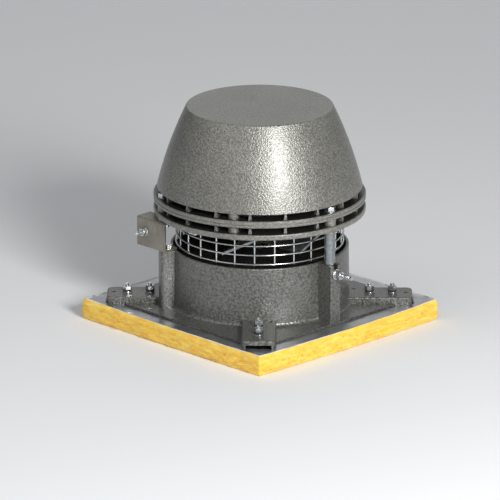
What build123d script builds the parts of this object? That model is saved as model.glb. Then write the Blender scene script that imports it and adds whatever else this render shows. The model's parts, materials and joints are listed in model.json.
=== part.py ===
from build123d import *

import os
from math import cos, radians, sin, sqrt

# A chimney exhaust fan: a square base casting on a mineral wool mat, and a domed fan head hinged to it.
# Millimetres, +Z up. The origin is the middle of the flue opening, on the chimney top under the mat.
# The hinge is on the -X side and the lock on the +X side. Left is -Y, seen from the lock side.

# Fits
running_clearance = 0.05
hole_clearance = 0.3
face_gap = 0.1

# Mineral wool mat
mat_side = 326.0
mat_height = 25.0
mat_sink = 3.0
mat_fit = 0.4

# Base casting: plate, inlet and collar
plate_side = 280.0
plate_thickness = 6.0
inlet_radius = 100.0
collar_radius = 116.0
collar_wall = 4.0
collar_height = 77.2
collar_draft = 1.2
collar_fillet = 5.0
rim_fillet = 1.2

# Base casting: raised corner pads, hollow underneath and open at the corners
pad_width = 44.0
pad_height = 8.5
pad_reach = 199.0
pad_corner = 8.0
pad_edge = 2.0
pad_roof = 6.0
channel_width = 33.0
channel_start = 124.0
drain_diameter = 6.0
drain_place = 122.5
drain_offset = 14.0
fixing_diameter = 5.5
fixing_place = 190.5

# Base casting: lock tower and hinge towers on the collar
tower_width = 18.0
tower_corner = 1.5
hinge_tower_corner = 4.0
lock_tower_reach = 139.5
hinge_tower_reach = 134.0
hinge_angle = 120.0

# Anchor bars in the corner channels, with their studs
bar_width = 28.0
bar_thickness = 5.0
bar_start = 128.0
bar_end = 181.0
anchor_places = (143.0, 172.8)
anchor_diameter = 6.0
anchor_rise = 12.6
anchor_washer_diameter = 13.0
anchor_washer_thickness = 1.6
damper_diameter = 12.0
damper_thickness = 2.6
anchor_nut_flats = 10.0
anchor_nut_height = 5.2

# Fan head: motor plate, cooling ring and dome, with air gaps between them
outlet_height = 45.2
ring_radius = 137.8
ring_edge = 1.5
motor_plate_thickness = 7.3
lower_gap = 8.7
ring_thickness = 9.4
rim_groove_width = 1.4
rim_groove_depth = 0.8
ring_opening = 113.0
upper_gap = 7.9
dome_foot_radius = 133.4
dome_top_radius = 95.0
dome_bulge = 3.3
dome_height = 107.2
dome_wall = 4.0
dome_top_thickening = 1.0
dome_edge = 2.5
rib_count = 18
rib_length = 13.0
rib_foot = 4.6
rib_tip = 2.0
rib_setback = 6.8

# Dome screws, from under the motor plate up into the dome
screw_circle = 124.0
screw_diameter = 6.0
screw_boss_diameter = 15.0
screw_head_diameter = 10.0
screw_head_height = 3.0
screw_engagement = 10.0
dome_boss_height = 14.0
dome_boss_diameter = 12.0

# Ring bolts, down through ring and motor plate into the lock pillar and the hinge brackets
bolt_circle = 128.0
bolt_diameter = 8.0
bolt_boss_diameter = 16.0
bolt_boss_drop = 5.0
bolt_head_flats = 13.0
bolt_head_height = 5.3
bolt_washer_diameter = 15.0
bolt_washer_thickness = 1.4
bolt_nut_height = 6.5
bolt_tail = 1.5
pillar_engagement = 16.0

# Lock: a pillar whose foot drops into the lock tower, with a stud that leaves through an open slot
pillar_diameter = 14.0
pillar_foot_diameter = 11.0
pillar_foot_length = 19.0
pocket_margin = 0.5
pocket_swing = 3.4
lock_stud_diameter = 6.0
lock_stud_drop = 11.7
lock_stud_reach = 168.0
lock_slot_width = 7.0
lock_flange_diameter = 14.0
lock_flange_thickness = 1.6
lock_nut_flats = 10.0
lock_nut_height = 8.4

# Hinge: brackets on the head outside, plates on the base inside, one pivot bolt on each side
pivot_x = -88.0
pivot_drop = 23.4
hinge_sheet = 2.5
bracket_face = 122.0
bracket_depth = 24.0
bracket_back = 103.0
bracket_front = 51.0
bracket_height = 38.9
bracket_bend = 3.0
pivot_diameter = 6.0
pivot_tip = 17.0
pivot_nut_flats = 10.0
pivot_nut_height = 5.2
pivot_head_height = 4.0
pivot_washer_diameter = 12.5
pivot_washer_thickness = 1.4
hinge_eye_radius = 11.0
hinge_foot_depth = 20.0
hinge_foot_back = 73.0
hinge_foot_front = 53.0
foot_bolt_circle = 122.0
foot_bolt_diameter = 6.0
foot_bolt_flats = 10.0
foot_bolt_head = 4.0
foot_bolt_depth = 16.0

# Wire guard round the outlet
guard_radius = 108.0
guard_wire = 2.2
guard_weld = 0.4
guard_uprights = 26
guard_start_angle = -48.1
guard_hoops = 4
guard_hoop_pitch = 12.4
guard_top_hoop = 4.0
guard_tail = 2.4
clip_count = 3
clip_start_angle = 30.0
clip_width = 8.0
clip_thickness = 1.5
clip_length = 16.0
clip_screw_diameter = 4.0
clip_screw_head = 7.0
clip_screw_head_height = 2.6
clip_screw_depth = 5.0

# Motor, standing on the motor plate under the dome
shaft_diameter = 12.0
motor_radius = 62.0
motor_wall = 4.0
motor_body_height = 80.0
shield_thickness = 7.0
upper_shield_thickness = 13.0
spigot_radius = 30.0
bearing_radius = 16.0
bearing_width = 10.0
bearing_inner_radius = 10.0
bearing_lip = 3.0
bearing_relief = 1.0
stator_bore = 32.0
stator_height = 50.0
stator_base = 17.0
air_gap = 0.4
winding_outer = 50.0
winding_inner = 36.0
winding_height = 10.0
tie_bolt_circle = 54.0
tie_bolt_diameter = 4.0
tie_bolt_count = 4
tie_bolt_head = 7.0
tie_bolt_head_height = 4.0
flange_radius = 74.0
flange_thickness = 7.0
mount_screw_circle = 68.0
mount_screw_diameter = 5.0
mount_screw_count = 4
mount_screw_start_angle = 45.0
mount_screw_head = 8.5
mount_screw_head_height = 5.0
shaft_top_gap = 2.0

# Terminal box under the dome and the cable gland below it
box_place = 92.0
box_width = 46.0
box_depth = 32.0
box_height = 34.0
box_corner = 4.0
gland_place = 124.0
gland_flats = 20.0
gland_flange_height = 5.0
gland_barrel_diameter = 17.0
gland_barrel_height = 11.0
gland_bore_diameter = 8.0
gland_stem_diameter = 14.0

# Impeller under the motor plate
impeller_lift = 23.0
hub_radius = 28.0
hub_height = 34.0
hub_edge = 8.0
blade_count = 6
blade_reach = 97.0
blade_root_chord = 44.0
blade_tip_chord = 54.0
blade_root_thickness = 5.0
blade_tip_thickness = 3.0
blade_root_pitch = 44.0
blade_tip_pitch = 26.0
blade_root_place = 22.0
hub_nut_flats = 19.0
hub_nut_height = 9.0
hub_washer_diameter = 26.0
hub_washer_thickness = 2.0
shaft_end = 2.5
seal_radius = 13.0
seal_height = 3.0
seal_gap = 0.4

# Heights that follow from the sizes above
plate_z = mat_height - mat_sink
plate_top = plate_z + plate_thickness
pad_top = plate_top + pad_height
channel_roof = pad_top - pad_roof
rim_z = plate_top + collar_height
head_z = rim_z + outlet_height
head_top = head_z + motor_plate_thickness
ring_z = head_top + lower_gap
ring_top = ring_z + ring_thickness
dome_z = ring_top + upper_gap
boss_z = head_z - bolt_boss_drop
clip_circle = guard_radius + guard_weld + clip_length / 2
pivot_z = head_z - pivot_drop
lock_z = rim_z - lock_stud_drop
bore_radius = collar_radius - collar_wall
impeller_z = rim_z + impeller_lift
hub_z = impeller_z - hub_height / 2
bracket_angles = (hinge_angle, -hinge_angle)
corner_angle = 45.0
corner_count = 4


def polar(radius, angle):
    """A point on a circle round the fan's axis."""
    return (radius * cos(radians(angle)), radius * sin(radians(angle)))


def disc(radius, z, height, hole=0.0, mode=Mode.ADD):
    """A round plate on the fan's axis, with a round hole if one is given."""
    with BuildSketch(Plane.XY.offset(z)) as outline:
        Circle(radius)
        if hole:
            Circle(hole, mode=Mode.SUBTRACT)
    extrude(outline.sketch, amount=height, mode=mode)


def posts(points, diameter, z, height, mode=Mode.ADD):
    """Upright cylinders at the given points."""
    with BuildSketch(Plane.XY.offset(z)) as outline:
        with Locations(*points):
            Circle(diameter / 2)
    extrude(outline.sketch, amount=height, mode=mode)


def hexes(points, flats, z, height):
    """Upright hexagons at the given points."""
    with BuildSketch(Plane.XY.offset(z)) as outline:
        with Locations(*points):
            RegularPolygon(flats / 2, 6, major_radius=False)
    extrude(outline.sketch, amount=height)


def rings(points, outer, inner, z, height):
    """Upright washers at the given points."""
    with BuildSketch(Plane.XY.offset(z)) as outline:
        with Locations(*points):
            Circle(outer / 2)
            Circle(inner / 2, mode=Mode.SUBTRACT)
    extrude(outline.sketch, amount=height)


def radial_ribs(z, height):
    """Thin ribs with a wide foot, standing round the edge of a ring."""
    start = ring_radius - rib_setback - rib_length
    for index in range(rib_count):
        angle = (index + 0.5) * 360 / rib_count
        out = (*polar(1, angle), 0)
        across = (*polar(1, angle + 90), 0)
        with BuildSketch(Plane((*polar(start, angle), z), x_dir=across, z_dir=out)) as outline:
            with BuildLine():
                Polyline(
                    (-rib_foot / 2, 0),
                    (rib_foot / 2, 0),
                    (rib_tip / 2, height),
                    (-rib_tip / 2, height),
                    close=True,
                )
            make_face()
        extrude(outline.sketch, amount=rib_length)


def write(piece, label):
    """Labels a finished piece and writes it to its own file."""
    piece.part.label = label
    export_step(piece.part, f"parts/{label}.step")


os.makedirs("parts", exist_ok=True)

corner_angles = [corner_angle + 90 * corner for corner in range(corner_count)]
anchor_points = [polar(place, angle) for angle in corner_angles for place in anchor_places]
fixing_points = [polar(fixing_place, angle) for angle in corner_angles]
bolt_points = [polar(bolt_circle, angle) for angle in (0, *bracket_angles)]
screw_points = [polar(screw_circle, angle + 180) for angle in (0, *bracket_angles)]
foot_bolt_points = [polar(foot_bolt_circle, angle) for angle in bracket_angles]

# Mineral wool mat, pressed down under the plate
with BuildPart() as mineral_wool_mat:
    with BuildSketch():
        Rectangle(mat_side, mat_side)
        Circle(inlet_radius, mode=Mode.SUBTRACT)
        with Locations(*fixing_points):
            Circle(fixing_diameter / 2 + hole_clearance, mode=Mode.SUBTRACT)
    extrude(amount=mat_height)
    with BuildSketch(Plane.XY.offset(plate_z)):
        Rectangle(plate_side + 2 * mat_fit, plate_side + 2 * mat_fit)
        with PolarLocations(pad_reach / 2, corner_count, corner_angle):
            Rectangle(pad_reach + 2 * mat_fit, pad_width + 2 * mat_fit)
    extrude(amount=mat_sink, mode=Mode.SUBTRACT)
write(mineral_wool_mat, "mineral_wool_mat")

# Base casting
pad_length = pad_reach - bore_radius + collar_wall
with BuildPart() as base_casting:
    with BuildSketch(Plane.XY.offset(plate_z)):
        with PolarLocations(pad_reach - pad_length / 2, corner_count, corner_angle):
            RectangleRounded(pad_length, pad_width, pad_corner)
    extrude(amount=pad_top - plate_z)
    fillet(base_casting.faces().filter_by_position(Axis.Z, pad_top, pad_top).edges(), pad_edge)
    with BuildSketch(Plane.XY.offset(plate_z)) as plate_outline:
        Rectangle(plate_side, plate_side)
        chamfer(plate_outline.vertices(), plate_side - sqrt(2) * (pad_reach - pad_width / 2 + pad_corner / 2))
    extrude(amount=plate_thickness)
    with BuildSketch(Plane.XZ) as collar_profile:
        with BuildLine():
            Polyline(
                (bore_radius, plate_z),
                (collar_radius + collar_draft, plate_z),
                (collar_radius, rim_z),
                (bore_radius, rim_z),
                close=True,
            )
        make_face()
        fillet(collar_profile.vertices().group_by(Axis.Y)[-1], rim_fillet)
    revolve(axis=Axis.Z)
    with BuildSketch(Plane.XZ):
        with BuildLine():
            foot = collar_radius + collar_draft
            Line((foot - collar_wall / 2, plate_top), (foot + collar_fillet, plate_top))
            RadiusArc((foot + collar_fillet, plate_top), (foot, plate_top + collar_fillet), collar_fillet)
            Line((foot, plate_top + collar_fillet), (foot - collar_wall / 2, plate_top + collar_fillet))
            Line((foot - collar_wall / 2, plate_top + collar_fillet), (foot - collar_wall / 2, plate_top))
        make_face()
    revolve(axis=Axis.Z)
    towers = [(0, lock_tower_reach, tower_corner)]
    towers += [(angle, hinge_tower_reach, hinge_tower_corner) for angle in bracket_angles]
    for angle, reach, corner in towers:
        with BuildSketch(Plane.XY.offset(plate_z)):
            with PolarLocations((bore_radius + reach) / 2, 1, angle):
                RectangleRounded(reach - bore_radius, tower_width, corner)
        extrude(amount=rim_z - plate_z)
    disc(bore_radius, plate_top, rim_z - plate_top, mode=Mode.SUBTRACT)
    disc(inlet_radius, plate_z, plate_thickness, mode=Mode.SUBTRACT)
    with BuildSketch(Plane.XY.offset(plate_z)):
        channel_end = pad_reach + pad_corner
        with PolarLocations((channel_start + channel_end) / 2, corner_count, corner_angle):
            Rectangle(channel_end - channel_start, channel_width)
    extrude(amount=channel_roof - plate_z, mode=Mode.SUBTRACT)
    posts(anchor_points, anchor_diameter + 2 * hole_clearance, plate_z, pad_top - plate_z, Mode.SUBTRACT)
    posts(fixing_points, fixing_diameter, plate_z, pad_top - plate_z, Mode.SUBTRACT)
    with BuildSketch(Plane.XY.offset(plate_z)):
        with PolarLocations(drain_place, corner_count, corner_angle):
            with Locations((0, drain_offset)):
                Circle(drain_diameter / 2)
    extrude(amount=pad_top + collar_fillet - plate_z, mode=Mode.SUBTRACT)
    pocket_start = bolt_circle - pillar_foot_diameter / 2 - pocket_margin
    pocket_end = bolt_circle + pillar_foot_diameter / 2 + pocket_swing
    with BuildSketch(Plane.XY.offset(rim_z)):
        with Locations(((pocket_start + pocket_end) / 2, 0)):
            Rectangle(pocket_end - pocket_start, pillar_foot_diameter + 2 * pocket_margin)
    extrude(amount=-pillar_foot_length - 2 * pocket_margin, mode=Mode.SUBTRACT)
    with BuildSketch(Plane.YZ.offset(pocket_end)):
        with Locations((0, lock_z)):
            Circle(lock_slot_width / 2)
        with Locations((0, (lock_z + rim_z) / 2)):
            Rectangle(lock_slot_width, rim_z - lock_z)
    extrude(amount=lock_tower_reach - pocket_end, mode=Mode.SUBTRACT)
    foot_bolt_bore = foot_bolt_diameter + 2 * running_clearance
    posts(foot_bolt_points, foot_bolt_bore, rim_z, -foot_bolt_depth, Mode.SUBTRACT)
write(base_casting, "base_casting")

# Anchor bars in the corner channels
for number, angle in enumerate(corner_angles, start=1):
    with BuildPart() as anchor_bar:
        with BuildSketch(Plane.XY.offset(channel_roof - bar_thickness)):
            with PolarLocations((bar_start + bar_end) / 2, 1, angle):
                Rectangle(bar_end - bar_start, bar_width)
        extrude(amount=bar_thickness)
        posts(
            anchor_points,
            anchor_diameter + 2 * running_clearance,
            channel_roof - bar_thickness,
            bar_thickness,
            Mode.SUBTRACT,
        )
    write(anchor_bar, f"anchor_bar_{number}")

# Anchor studs with steel washers, rubber dampers and nuts
with BuildPart() as anchor_studs:
    stud_foot = channel_roof - bar_thickness
    posts(anchor_points, anchor_diameter, stud_foot, pad_top + anchor_rise - stud_foot)
    chamfer(anchor_studs.faces().sort_by(Axis.Z)[-len(anchor_points):].edges(), anchor_diameter / 8)
write(anchor_studs, "anchor_studs")

anchor_bore = anchor_diameter + 2 * running_clearance
damper_z = pad_top + anchor_washer_thickness
anchor_nut_z = damper_z + damper_thickness
with BuildPart() as anchor_washers:
    rings(anchor_points, anchor_washer_diameter, anchor_bore, pad_top, anchor_washer_thickness)
write(anchor_washers, "anchor_washers")

with BuildPart() as anchor_dampers:
    rings(anchor_points, damper_diameter, anchor_bore, damper_z, damper_thickness)
write(anchor_dampers, "anchor_dampers")

with BuildPart() as anchor_nuts:
    hexes(anchor_points, anchor_nut_flats, anchor_nut_z, anchor_nut_height)
    posts(anchor_points, anchor_bore, anchor_nut_z, anchor_nut_height, Mode.SUBTRACT)
write(anchor_nuts, "anchor_nuts")

# Motor plate, the lowest ring of the head
with BuildPart() as motor_plate:
    disc(ring_radius, head_z, motor_plate_thickness, spigot_radius + running_clearance)
    fillet(motor_plate.edges().sort_by(SortBy.LENGTH)[-2:], ring_edge)
    radial_ribs(head_top, lower_gap)
    posts(bolt_points, bolt_boss_diameter, head_top, lower_gap)
    posts(screw_points, screw_boss_diameter, head_top, lower_gap)
    posts(bolt_points, bolt_boss_diameter, boss_z, bolt_boss_drop)
    posts(bolt_points, bolt_diameter + 2 * hole_clearance, boss_z, ring_z - boss_z, Mode.SUBTRACT)
    posts(screw_points, screw_diameter + 2 * hole_clearance, head_z, ring_z - head_z, Mode.SUBTRACT)
    with BuildSketch(Plane.XY.offset(head_z)):
        with PolarLocations(mount_screw_circle, mount_screw_count, mount_screw_start_angle):
            Circle(mount_screw_diameter / 2 + running_clearance)
        with Locations((0, gland_place)):
            Circle(gland_stem_diameter / 2 + running_clearance)
    extrude(amount=motor_plate_thickness, mode=Mode.SUBTRACT)
    with BuildSketch(Plane.XY.offset(head_z)):
        with PolarLocations(clip_circle, clip_count, clip_start_angle):
            Circle(clip_screw_diameter / 2 + running_clearance)
    extrude(amount=clip_screw_depth, mode=Mode.SUBTRACT)
write(motor_plate, "motor_plate")

# Cooling ring between the motor plate and the dome
with BuildPart() as cooling_ring:
    disc(ring_radius, ring_z, ring_thickness, ring_opening)
    outer_edges = cooling_ring.edges().filter_by(GeomType.CIRCLE).sort_by(SortBy.RADIUS)[-2:]
    fillet(outer_edges, ring_edge)
    groove_z = ring_z + (ring_thickness - rim_groove_width) / 2
    disc(ring_radius, groove_z, rim_groove_width, ring_radius - rim_groove_depth, Mode.SUBTRACT)
    radial_ribs(ring_top, upper_gap)
    posts(screw_points, screw_boss_diameter, ring_top, upper_gap)
    posts(bolt_points, bolt_diameter + 2 * hole_clearance, ring_z, ring_thickness, Mode.SUBTRACT)
    posts(screw_points, screw_diameter + 2 * hole_clearance, ring_z, dome_z - ring_z, Mode.SUBTRACT)
write(cooling_ring, "cooling_ring")

# Dome: a bulged cone with a flat top, hollow, with three screw bosses inside its foot
dome_top = dome_z + dome_height
waist = (dome_foot_radius + dome_top_radius) / 2 + dome_bulge
with BuildPart() as dome_hollow:
    with BuildSketch(Plane.XZ):
        with BuildLine():
            hollow_top = dome_top - dome_wall
            hollow_top_radius = dome_top_radius - dome_wall + dome_top_thickening
            Line((0, hollow_top), (hollow_top_radius, hollow_top))
            ThreePointArc(
                (hollow_top_radius, hollow_top),
                (waist - dome_wall, (dome_z + hollow_top) / 2),
                (dome_foot_radius - dome_wall, dome_z),
            )
            Line((dome_foot_radius - dome_wall, dome_z), (0, dome_z))
            Line((0, dome_z), (0, hollow_top))
        make_face()
    revolve(axis=Axis.Z)
    posts(screw_points, dome_boss_diameter, dome_z, dome_boss_height, Mode.SUBTRACT)
with BuildPart() as dome:
    with BuildSketch(Plane.XZ):
        with BuildLine():
            Line((0, dome_top), (dome_top_radius, dome_top))
            ThreePointArc(
                (dome_top_radius, dome_top),
                (waist, dome_z + dome_height / 2),
                (dome_foot_radius, dome_z),
            )
            Line((dome_foot_radius, dome_z), (0, dome_z))
            Line((0, dome_z), (0, dome_top))
        make_face()
    revolve(axis=Axis.Z)
    fillet(dome.edges().filter_by_position(Axis.Z, dome_top, dome_top), dome_edge)
    add(dome_hollow.part, mode=Mode.SUBTRACT)
    posts(screw_points, screw_diameter + 2 * running_clearance, dome_z, screw_engagement, Mode.SUBTRACT)
write(dome, "dome")

# Dome screws
with BuildPart() as dome_screws:
    posts(screw_points, screw_head_diameter, head_z - screw_head_height, screw_head_height)
    posts(screw_points, screw_diameter, head_z, dome_z + screw_engagement - face_gap - head_z)
write(dome_screws, "dome_screws")

# Ring bolts: one into the lock pillar, two through the hinge brackets
bracket_z = boss_z - hinge_sheet
bracket_nut_z = bracket_z - bolt_nut_height
bolt_head_z = ring_top + bolt_washer_thickness
with BuildPart() as ring_bolts:
    hexes(bolt_points, bolt_head_flats, bolt_head_z, bolt_head_height)
    pillar_bolt_end = boss_z - pillar_engagement + face_gap
    posts(bolt_points[:1], bolt_diameter, pillar_bolt_end, bolt_head_z - pillar_bolt_end)
    bracket_bolt_end = bracket_nut_z - bolt_tail
    posts(bolt_points[1:], bolt_diameter, bracket_bolt_end, bolt_head_z - bracket_bolt_end)
write(ring_bolts, "ring_bolts")

with BuildPart() as ring_bolt_washers:
    bolt_hole = bolt_diameter + 2 * hole_clearance
    rings(bolt_points, bolt_washer_diameter, bolt_hole, ring_top, bolt_washer_thickness)
write(ring_bolt_washers, "ring_bolt_washers")

with BuildPart() as bracket_nuts:
    hexes(bolt_points[1:], bolt_head_flats, bracket_nut_z, bolt_nut_height)
    nut_bore = bolt_diameter + 2 * running_clearance
    posts(bolt_points[1:], nut_bore, bracket_nut_z, bolt_nut_height, Mode.SUBTRACT)
write(bracket_nuts, "bracket_nuts")

# Lock pillar with its foot in the lock tower, and the lock stud with its flange nut
with BuildPart() as lock_pillar:
    posts(bolt_points[:1], pillar_diameter, rim_z + face_gap, boss_z - rim_z - face_gap)
    posts(bolt_points[:1], pillar_foot_diameter, rim_z - pillar_foot_length, pillar_foot_length + face_gap)
    posts(bolt_points[:1], bolt_diameter + 2 * running_clearance, boss_z, -pillar_engagement, Mode.SUBTRACT)
    with BuildSketch(Plane.YZ.offset(bolt_circle - pillar_diameter)):
        with Locations((0, lock_z)):
            Circle(lock_stud_diameter / 2 + running_clearance)
    extrude(amount=2 * pillar_diameter, mode=Mode.SUBTRACT)
write(lock_pillar, "lock_pillar")

stud_start = bolt_circle - pillar_foot_diameter / 2
with BuildPart() as lock_stud:
    with BuildSketch(Plane.YZ.offset(stud_start)):
        with Locations((0, lock_z)):
            Circle(lock_stud_diameter / 2)
    extrude(amount=lock_stud_reach - stud_start)
    chamfer(lock_stud.faces().sort_by(Axis.X)[-1].edges(), lock_stud_diameter / 8)
write(lock_stud, "lock_stud")

lock_nut_start = lock_tower_reach + face_gap
with BuildPart() as lock_nut:
    with BuildSketch(Plane.YZ.offset(lock_nut_start)):
        with Locations((0, lock_z)):
            Circle(lock_flange_diameter / 2)
    extrude(amount=lock_flange_thickness)
    with BuildSketch(Plane.YZ.offset(lock_nut_start + lock_flange_thickness)):
        with Locations((0, lock_z)):
            RegularPolygon(lock_nut_flats / 2, 6, major_radius=False)
    extrude(amount=lock_nut_height)
    with BuildSketch(Plane.YZ.offset(lock_nut_start)):
        with Locations((0, lock_z)):
            Circle(lock_stud_diameter / 2 + running_clearance)
    extrude(amount=lock_flange_thickness + lock_nut_height, mode=Mode.SUBTRACT)
write(lock_nut, "lock_nut")

# Hinge brackets on the head, bent from sheet: a flange under the motor plate and a web outside
with BuildPart() as hinge_bracket_left:
    web_middle = -(bracket_back + bracket_front) / 2
    with BuildSketch(Plane.YZ.offset(-bracket_back)):
        with BuildLine():
            bend = FilletPolyline(
                (-bracket_face, boss_z - bracket_height),
                (-bracket_face, boss_z),
                (-bracket_face + bracket_depth, boss_z),
                radius=bracket_bend,
            )
            offset(bend, amount=-hinge_sheet, side=Side.RIGHT)
        make_face()
    extrude(amount=bracket_back - bracket_front)
    posts(bolt_points[1:], bolt_diameter + 2 * hole_clearance, bracket_z, hinge_sheet, Mode.SUBTRACT)
    with BuildSketch(Plane.XZ.offset(bracket_face - hinge_sheet)):
        with Locations((pivot_x, pivot_z)):
            Circle(pivot_diameter / 2 + running_clearance)
    extrude(amount=hinge_sheet, mode=Mode.SUBTRACT)
write(hinge_bracket_left, "hinge_bracket_left")

with BuildPart() as hinge_bracket_right:
    mirror(hinge_bracket_left.part, about=Plane.XZ)
write(hinge_bracket_right, "hinge_bracket_right")

# Hinge plates on the base: a foot on the tower and an eye round the pivot, inside the bracket's web
plate_face = bracket_face - hinge_sheet - pivot_washer_thickness - 2 * face_gap
plate_back = plate_face - hinge_sheet
with BuildPart() as hinge_plate_left:
    with BuildSketch(Plane.XZ.offset(plate_back)) as eye:
        with Locations((pivot_x, pivot_z)):
            Circle(hinge_eye_radius)
        with Locations((-(hinge_foot_back + hinge_foot_front) / 2, rim_z + hinge_sheet / 2)):
            Rectangle(hinge_foot_back - hinge_foot_front, hinge_sheet)
        make_hull()
        with Locations((pivot_x, pivot_z)):
            Circle(pivot_diameter / 2 + running_clearance, mode=Mode.SUBTRACT)
    extrude(amount=hinge_sheet)
    with BuildSketch(Plane.XY.offset(rim_z)):
        with Locations((-(hinge_foot_back + hinge_foot_front) / 2, hinge_foot_depth / 2 - plate_face)):
            Rectangle(hinge_foot_back - hinge_foot_front, hinge_foot_depth)
    extrude(amount=hinge_sheet)
    posts(foot_bolt_points, foot_bolt_diameter + 2 * hole_clearance, rim_z, hinge_sheet, Mode.SUBTRACT)
write(hinge_plate_left, "hinge_plate_left")

with BuildPart() as hinge_plate_right:
    mirror(hinge_plate_left.part, about=Plane.XZ)
write(hinge_plate_right, "hinge_plate_right")

with BuildPart() as hinge_foot_bolts:
    hexes(foot_bolt_points, foot_bolt_flats, rim_z + hinge_sheet, foot_bolt_head)
    posts(foot_bolt_points, foot_bolt_diameter, rim_z + hinge_sheet, face_gap - foot_bolt_depth - hinge_sheet)
write(hinge_foot_bolts, "hinge_foot_bolts")

# Pivot bolts with their washers and nuts
inner_washer_face = plate_face + pivot_washer_thickness
outer_washer_face = bracket_face + face_gap + pivot_washer_thickness
with BuildPart() as pivot_bolt_left:
    with BuildSketch(Plane.XZ.offset(plate_back - pivot_head_height)):
        with Locations((pivot_x, pivot_z)):
            RegularPolygon(pivot_nut_flats / 2, 6, major_radius=False)
    extrude(amount=pivot_head_height)
    with BuildSketch(Plane.XZ.offset(plate_back)):
        with Locations((pivot_x, pivot_z)):
            Circle(pivot_diameter / 2)
    extrude(amount=bracket_face + pivot_tip - plate_back)
    chamfer(pivot_bolt_left.faces().sort_by(Axis.Y)[0].edges(), pivot_diameter / 8)
with BuildPart() as pivot_bolts:
    add(pivot_bolt_left.part)
    mirror(about=Plane.XZ)
write(pivot_bolts, "pivot_bolts")

with BuildPart() as pivot_washers:
    for start in (plate_face, bracket_face + face_gap):
        with BuildSketch(Plane.XZ.offset(start)):
            with Locations((pivot_x, pivot_z)):
                Circle(pivot_washer_diameter / 2)
                Circle(pivot_diameter / 2 + running_clearance, mode=Mode.SUBTRACT)
        extrude(amount=pivot_washer_thickness)
    mirror(about=Plane.XZ)
write(pivot_washers, "pivot_washers")

with BuildPart() as pivot_nuts:
    with BuildSketch(Plane.XZ.offset(outer_washer_face)):
        with Locations((pivot_x, pivot_z)):
            RegularPolygon(pivot_nut_flats / 2, 6, major_radius=False)
            Circle(pivot_diameter / 2 + running_clearance, mode=Mode.SUBTRACT)
    extrude(amount=pivot_nut_height)
    mirror(about=Plane.XZ)
write(pivot_nuts, "pivot_nuts")

# Wire guard: hoops outside, uprights inside, welded where they cross
top_hoop_z = head_z - guard_top_hoop
guard_foot = top_hoop_z - (guard_hoops - 1) * guard_hoop_pitch - guard_tail
hoop_radius = guard_radius + guard_wire / 2 - guard_weld / 2
upright_radius = guard_radius - guard_wire / 2 + guard_weld / 2
with BuildPart() as wire_guard:
    for index in range(guard_hoops):
        with Locations((0, 0, top_hoop_z - index * guard_hoop_pitch)):
            Torus(hoop_radius, guard_wire / 2)
    with BuildSketch(Plane.XY.offset(guard_foot)):
        with PolarLocations(upright_radius, guard_uprights, guard_start_angle):
            Circle(guard_wire / 2)
    extrude(amount=head_z - guard_foot)
write(wire_guard, "wire_guard")

# Guard clips: small plates screwed under the motor plate that hold the top hoop up
clip_z = top_hoop_z - guard_wire / 2 - clip_thickness
with BuildPart() as guard_clips:
    with BuildSketch(Plane.XY.offset(clip_z)):
        with PolarLocations(clip_circle, clip_count, clip_start_angle):
            Rectangle(clip_length, clip_width)
    extrude(amount=clip_thickness)
    with BuildSketch(Plane.XY.offset(clip_z)):
        with PolarLocations(clip_circle, clip_count, clip_start_angle):
            Circle(clip_screw_head / 2)
    extrude(amount=head_z - clip_z)
    with BuildSketch(Plane.XY.offset(clip_z)):
        with PolarLocations(clip_circle, clip_count, clip_start_angle):
            Circle(clip_screw_diameter / 2 + running_clearance)
    extrude(amount=head_z - clip_z, mode=Mode.SUBTRACT)
write(guard_clips, "guard_clips")

with BuildPart() as clip_screws:
    with BuildSketch(Plane.XY.offset(clip_z - clip_screw_head_height)):
        with PolarLocations(clip_circle, clip_count, clip_start_angle):
            Circle(clip_screw_head / 2)
    extrude(amount=clip_screw_head_height)
    with BuildSketch(Plane.XY.offset(clip_z)):
        with PolarLocations(clip_circle, clip_count, clip_start_angle):
            Circle(clip_screw_diameter / 2)
    extrude(amount=head_z + clip_screw_depth - face_gap - clip_z)
write(clip_screws, "clip_screws")

# Motor: flanged lower shield with the lower bearing, housing, upper shield with the upper bearing
housing_z = head_top + flange_thickness
upper_z = housing_z + motor_body_height
motor_top = upper_z + upper_shield_thickness
lower_bearing_z = head_z + bearing_lip
upper_bearing_z = upper_z
tie_points = [polar(tie_bolt_circle, index * 360 / tie_bolt_count) for index in range(tie_bolt_count)]
mount_points = [
    polar(mount_screw_circle, mount_screw_start_angle + index * 360 / mount_screw_count)
    for index in range(mount_screw_count)
]
with BuildPart() as motor_lower_shield:
    disc(flange_radius, head_top, flange_thickness)
    disc(spigot_radius, head_z, motor_plate_thickness)
    disc(bearing_radius, lower_bearing_z, housing_z - lower_bearing_z, mode=Mode.SUBTRACT)
    disc(bearing_inner_radius + bearing_relief, head_z, bearing_lip, mode=Mode.SUBTRACT)
    posts(mount_points, mount_screw_diameter + 2 * hole_clearance, head_top, flange_thickness, Mode.SUBTRACT)
    posts(tie_points, tie_bolt_diameter + 2 * running_clearance, head_top, flange_thickness, Mode.SUBTRACT)
write(motor_lower_shield, "motor_lower_shield")

with BuildPart() as motor_housing:
    disc(motor_radius, housing_z, motor_body_height, motor_radius - motor_wall)
write(motor_housing, "motor_housing")

with BuildPart() as motor_upper_shield:
    disc(motor_radius, upper_z, upper_shield_thickness)
    disc(bearing_radius, upper_bearing_z, bearing_width, mode=Mode.SUBTRACT)
    relief_z = upper_bearing_z + bearing_width
    disc(bearing_inner_radius + bearing_relief, relief_z, bearing_relief, mode=Mode.SUBTRACT)
    posts(tie_points, tie_bolt_diameter + 2 * hole_clearance, upper_z, upper_shield_thickness, Mode.SUBTRACT)
write(motor_upper_shield, "motor_upper_shield")

with BuildPart() as motor_tie_bolts:
    posts(tie_points, tie_bolt_head, motor_top, tie_bolt_head_height)
    posts(tie_points, tie_bolt_diameter, head_top, motor_top - head_top)
write(motor_tie_bolts, "motor_tie_bolts")

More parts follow.
